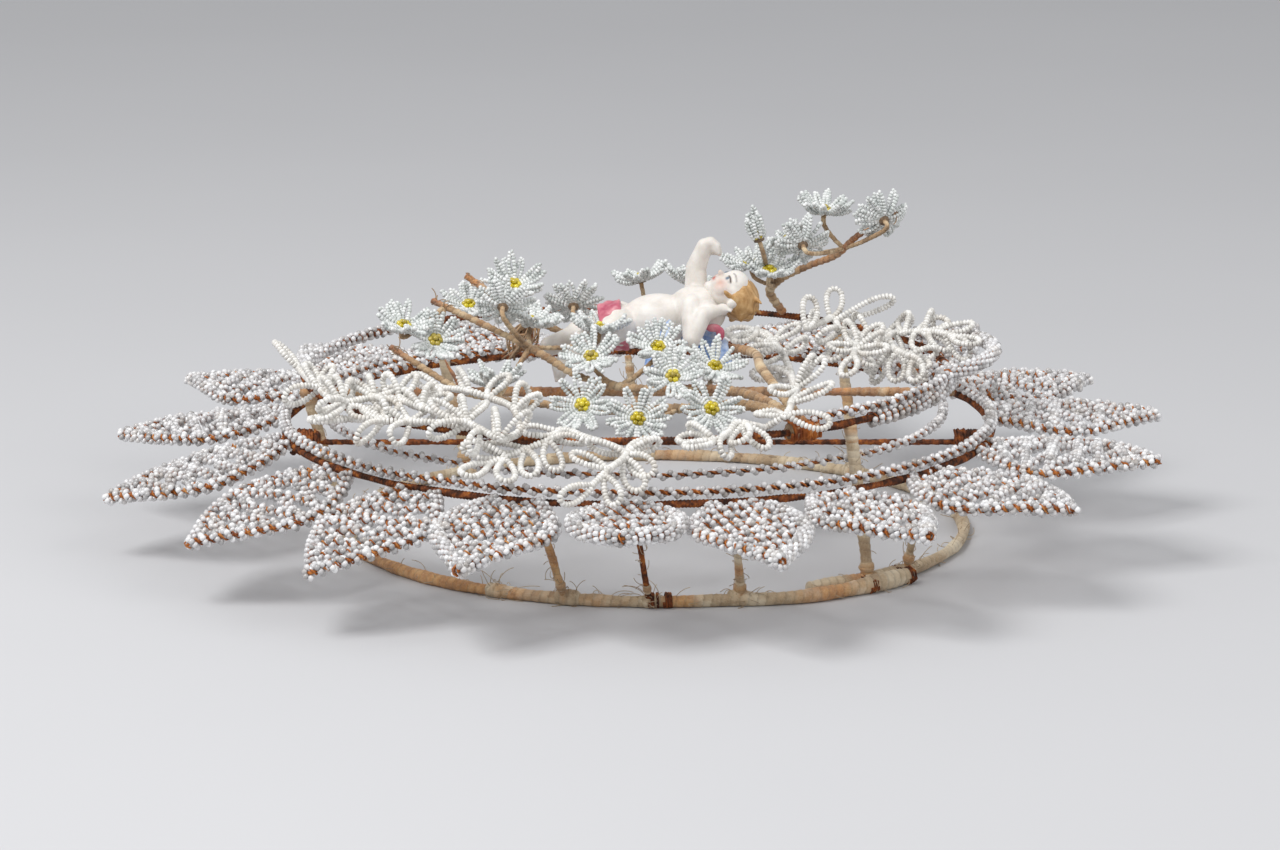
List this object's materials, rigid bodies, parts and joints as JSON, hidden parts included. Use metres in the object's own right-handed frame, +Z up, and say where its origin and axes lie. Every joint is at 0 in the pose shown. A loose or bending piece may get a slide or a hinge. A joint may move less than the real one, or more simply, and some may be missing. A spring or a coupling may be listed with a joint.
{
  "type": "funeral wreath",
  "caption": "Funeral wreath of bead work: three hoops on legs, a rim of netted bead leaves, and a bouquet of bead daisies and loop sprays with a small lying bisque cherub.",
  "frame": {"origin": "on the surface the wreath stands on, under the middle of the lower ring", "axes": "+Z up from the surface, +X to the right and -Y to the front, where the cherub's head is to the right"},
  "size_m": [0.4466, 0.4409, 0.1325],
  "materials": {
    "wrapped_cloth": "wire wrapped in frayed cream cloth strips, stained by rust",
    "rusted_iron": "rusted iron wire, dull red-brown",
    "paper_tape": "tan crepe paper wound on wire, stained brown, torn ends",
    "pearl_beads": "opaque pearl-white glass seed beads on rusty wire",
    "chalk_beads": "opaque chalk-white glass seed beads",
    "glass_beads": "clear and grey-green glass seed beads, yellow bead centres",
    "bisque": "unglazed cream bisque, lightly tinted",
    "tinted_bisque": "bisque brushed with soft blue, worn"
  },
  "bodies": {
    "root": {"base_hoop": "wrapped_cloth", "lower_ring": "rusted_iron", "upper_ring": "rusted_iron", "leg_1": "wrapped_cloth", "leg_2": "wrapped_cloth", "leg_3": "wrapped_cloth", "leg_4": "wrapped_cloth", "strut_1": "wrapped_cloth", "strut_2": "wrapped_cloth", "strut_3": "wrapped_cloth", "strut_4": "wrapped_cloth", "strut_5": "wrapped_cloth", "cross_wire": "rusted_iron", "cross_bar": "paper_tape", "binding_left": "rusted_iron", "binding_right": "rusted_iron", "bundle_binding": "rusted_iron", "edging_lower": "pearl_beads", "edging_middle": "pearl_beads", "edging_upper": "pearl_beads", "leaf_01": "pearl_beads", "leaf_02": "pearl_beads", "leaf_03": "pearl_beads", "leaf_04": "pearl_beads", "leaf_05": "pearl_beads", "leaf_06": "pearl_beads", "leaf_07": "pearl_beads", "leaf_08": "pearl_beads", "leaf_09": "pearl_beads", "leaf_10": "pearl_beads", "leaf_11": "pearl_beads", "leaf_12": "pearl_beads", "leaf_13": "pearl_beads", "leaf_14": "pearl_beads", "leaf_15": "pearl_beads", "leaf_16": "pearl_beads", "leaf_17": "pearl_beads", "leaf_18": "pearl_beads", "branch_low": "paper_tape", "branch_middle": "paper_tape", "branch_high": "paper_tape", "branch_back": "paper_tape", "cherub": "bisque", "wing_right": "tinted_bisque", "wing_left": "tinted_bisque", "loop_spray_1": "chalk_beads", "loop_spray_2": "chalk_beads", "loop_spray_3": "chalk_beads", "loop_spray_4": "chalk_beads", "loop_spray_5": "chalk_beads", "loop_spray_6": "chalk_beads", "daisy_twig_1": "glass_beads", "daisy_twig_2": "glass_beads", "daisy_twig_3": "glass_beads", "daisy_twig_4": "glass_beads", "daisy_twig_5": "glass_beads", "daisy_twig_6": "glass_beads", "daisy_twig_7": "glass_beads", "daisy_twig_8": "glass_beads", "daisy_twig_9": "glass_beads"}
  },
  "joints": []
}
